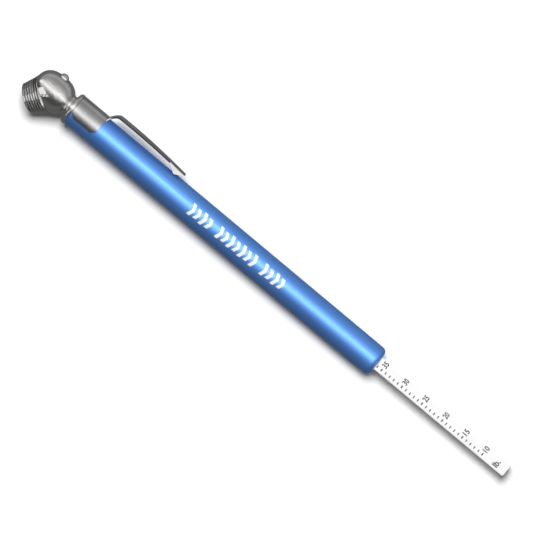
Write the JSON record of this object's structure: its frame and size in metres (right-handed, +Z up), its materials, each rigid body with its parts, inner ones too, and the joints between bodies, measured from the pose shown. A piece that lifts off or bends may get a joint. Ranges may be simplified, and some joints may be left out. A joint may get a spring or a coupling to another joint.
{
  "type": "tire pressure gauge",
  "caption": "Pencil-type tire pressure gauge: angled ball chuck for a tire valve, slim barrel with a pocket clip, and a square scale bar that slides out of the tail.",
  "frame": {"origin": "on the ground under the middle of the whole object, as it lies on its side with the bar out", "axes": "+X along the barrel, from the head towards the bar's tip; +Y towards the pocket clip's side, away from the valve socket; +Z up, which the bar's scale faces"},
  "size_m": [0.2068, 0.019, 0.0134],
  "materials": {
    "chrome": "chrome plate, bright",
    "anodised_blue": "satin blue anodised aluminium",
    "white_nylon": "semi-matt white nylon",
    "rubber": "matt black rubber",
    "brass": "turned brass",
    "steel": "plain steel"
  },
  "bodies": {
    "gauge_body": {"chuck_head": "chrome", "deflator_pin": "chrome", "chuck_seal": "rubber", "depressor_pin": "brass", "head_o_ring": "rubber", "barrel": "anodised_blue", "clip_band": "chrome", "range_spring": "steel", "spring_seat": "steel", "guide_bush": "white_nylon", "drag_leaf": "steel"},
    "tongue": {"clip_tongue": "chrome"},
    "piston": {"piston_cup": "rubber", "cup_washer": "steel", "piston_screw": "steel", "piston_body": "brass"},
    "bar": {"indicator_bar": "white_nylon", "bar_stop": "steel"}
  },
  "joints": [
    {"name": "bar_slide", "type": "slide", "parent": "gauge_body", "child": "bar", "axis": [1, 0, 0], "range_m": [-0.056, 0.024]},
    {"name": "piston_slide", "type": "slide", "parent": "gauge_body", "child": "piston", "axis": [1, 0, 0], "range_m": [-0.056, 0.024], "deforming": ["range_spring"]},
    {"name": "clip_flex", "type": "hinge", "parent": "gauge_body", "child": "tongue", "pos_m": [-0.07386, 0.00606, 0.00846], "axis": [0, -0.2672, 0.9636], "range_deg": [0, 3.5], "stiffness_Nm_per_rad": 1.5, "springref_deg": -1.15}
  ],
  "couplings": [
    {"joint": "piston_slide", "follows": "bar_slide", "ratio": 1}
  ]
}
